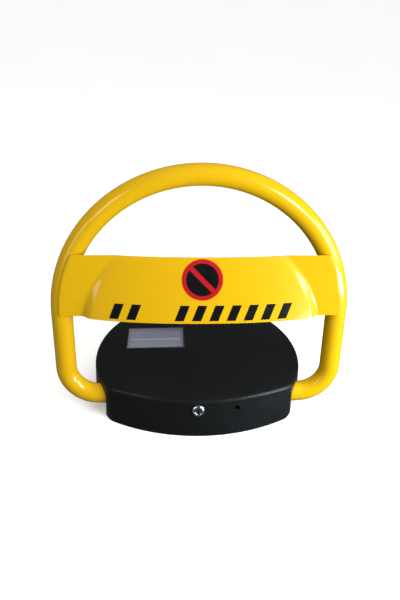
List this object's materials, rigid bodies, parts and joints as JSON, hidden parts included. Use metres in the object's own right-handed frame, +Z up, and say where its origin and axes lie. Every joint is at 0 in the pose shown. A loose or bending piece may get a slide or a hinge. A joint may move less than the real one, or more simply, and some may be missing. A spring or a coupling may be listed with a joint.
{
  "type": "folding parking lock",
  "caption": "Low domed steel base with a yellow tubular hoop and bowed crossbar panel that folds flat over it, driven by a worm gear motor under the cover.",
  "frame": {"origin": "on the ground under the middle of the base (bottom centre of the bounding box)", "axes": "+Z up, -Y is the front with the lock, the pivot axis runs along X"},
  "size_m": [0.456, 0.3174, 0.4037],
  "materials": {
    "yellow_paint": "glossy yellow powder coat with slight orange peel",
    "black_paint": "satin black powder coat",
    "bare_steel": "machined steel, lightly oiled",
    "zinc_plate": "bright zinc plating",
    "bronze": "sintered bronze",
    "chrome": "polished chrome on zinc alloy",
    "grey_plastic": "moulded grey plastic with fine texture",
    "black_plastic": "moulded black plastic",
    "rubber": "matt black rubber",
    "circuit_green": "green solder mask",
    "solar_blue": "dark blue silicon behind a resin face",
    "cell_wrap": "blue shrink sleeve",
    "window_clear": "clear polycarbonate pane",
    "sign_print": "red and black printed vinyl"
  },
  "bodies": {
    "base": {"base_plate": "black_paint", "top_cover": "black_paint", "gearbox_housing": "grey_plastic", "gearbox_lid": "grey_plastic", "motor_can": "zinc_plate", "motor_bracket": "zinc_plate", "battery_case": "black_plastic", "battery_lid": "black_plastic", "battery_cell_1": "cell_wrap", "battery_cell_2": "cell_wrap", "battery_cell_3": "cell_wrap", "battery_cell_4": "cell_wrap", "control_case": "grey_plastic", "control_lid": "grey_plastic", "circuit_board": "circuit_green", "antenna": "rubber", "buzzer": "black_plastic", "switch_bracket": "zinc_plate", "limit_switch_up": "black_plastic", "limit_switch_down": "black_plastic", "window_seal": "rubber", "solar_window": "window_clear", "solar_cell": "solar_blue", "lock_housing": "chrome", "lock_nut": "zinc_plate", "lock_keeper": "zinc_plate", "charging_socket": "black_plastic", "motor_lead": "rubber", "battery_lead": "rubber", "solar_lead": "rubber", "bearing_block_left": "bare_steel", "bush_left": "bronze", "block_bolt_left_front": "zinc_plate", "block_bolt_left_rear": "zinc_plate", "rear_hook_left": "zinc_plate", "bearing_block_right": "bare_steel", "bush_right": "bronze", "block_bolt_right_front": "zinc_plate", "block_bolt_right_rear": "zinc_plate", "rear_hook_right": "zinc_plate"},
    "drive": {"drive_gear": "bare_steel", "torsion_spring": "zinc_plate"},
    "hoop": {"hoop_tube": "yellow_paint", "crossbar_panel": "yellow_paint", "sign_label": "sign_print", "main_shaft": "bare_steel", "shaft_sleeve_left": "bare_steel", "shaft_sleeve_right": "bare_steel", "cross_pin_left": "zinc_plate", "cross_pin_right": "zinc_plate", "spring_collar": "bare_steel", "limit_cam": "black_plastic"},
    "output": {"output_pinion": "bare_steel", "worm_wheel": "bronze"},
    "rotor": {"worm_shaft": "bare_steel"},
    "lock_core": {"lock_barrel": "chrome", "lock_cam": "zinc_plate"},
    "lever_up": {"switch_lever_up": "zinc_plate"},
    "lever_down": {"switch_lever_down": "zinc_plate"}
  },
  "joints": [
    {"name": "fold", "type": "hinge", "parent": "base", "child": "drive", "pos_m": [0, -0.09075, 0.033], "axis": [-1, 0, 0], "range_deg": [0, 82.4]},
    {"name": "hoop_give", "type": "hinge", "parent": "drive", "child": "hoop", "pos_m": [0, -0.09075, 0.033], "axis": [-1, 0, 0], "range_deg": [-40, 0], "stiffness_Nm_per_rad": 25, "springref_deg": 20.05},
    {"name": "output_spin", "type": "hinge", "parent": "base", "child": "output", "pos_m": [0.037, -0.05776, 0.04309], "axis": [-1, 0, 0], "range_deg": [-188.4, 0]},
    {"name": "rotor_spin", "type": "hinge", "parent": "base", "child": "rotor", "pos_m": [0.014, -0.05776, 0.02209], "axis": [0, 1, 0], "range_deg": [-4521, 0]},
    {"name": "lock_turn", "type": "hinge", "parent": "base", "child": "lock_core", "pos_m": [-0.0035, -0.14966, 0.0455], "axis": [0.0109, 0.9799, -0.199], "range_deg": [0, 90]},
    {"name": "lever_up_press", "type": "hinge", "parent": "base", "child": "lever_up", "pos_m": [-0.065, -0.07225, 0.0248], "axis": [-1, 0, 0], "range_deg": [0, 7], "stiffness_Nm_per_rad": 0.05, "springref_deg": -5.73},
    {"name": "lever_down_press", "type": "hinge", "parent": "base", "child": "lever_down", "pos_m": [-0.051, -0.07225, 0.0248], "axis": [-1, 0, 0], "range_deg": [0, 7], "stiffness_Nm_per_rad": 0.05, "springref_deg": -5.73}
  ],
  "couplings": [
    {"joint": "output_spin", "follows": "fold", "ratio": -2.2857},
    {"joint": "rotor_spin", "follows": "fold", "ratio": -54.857}
  ]
}
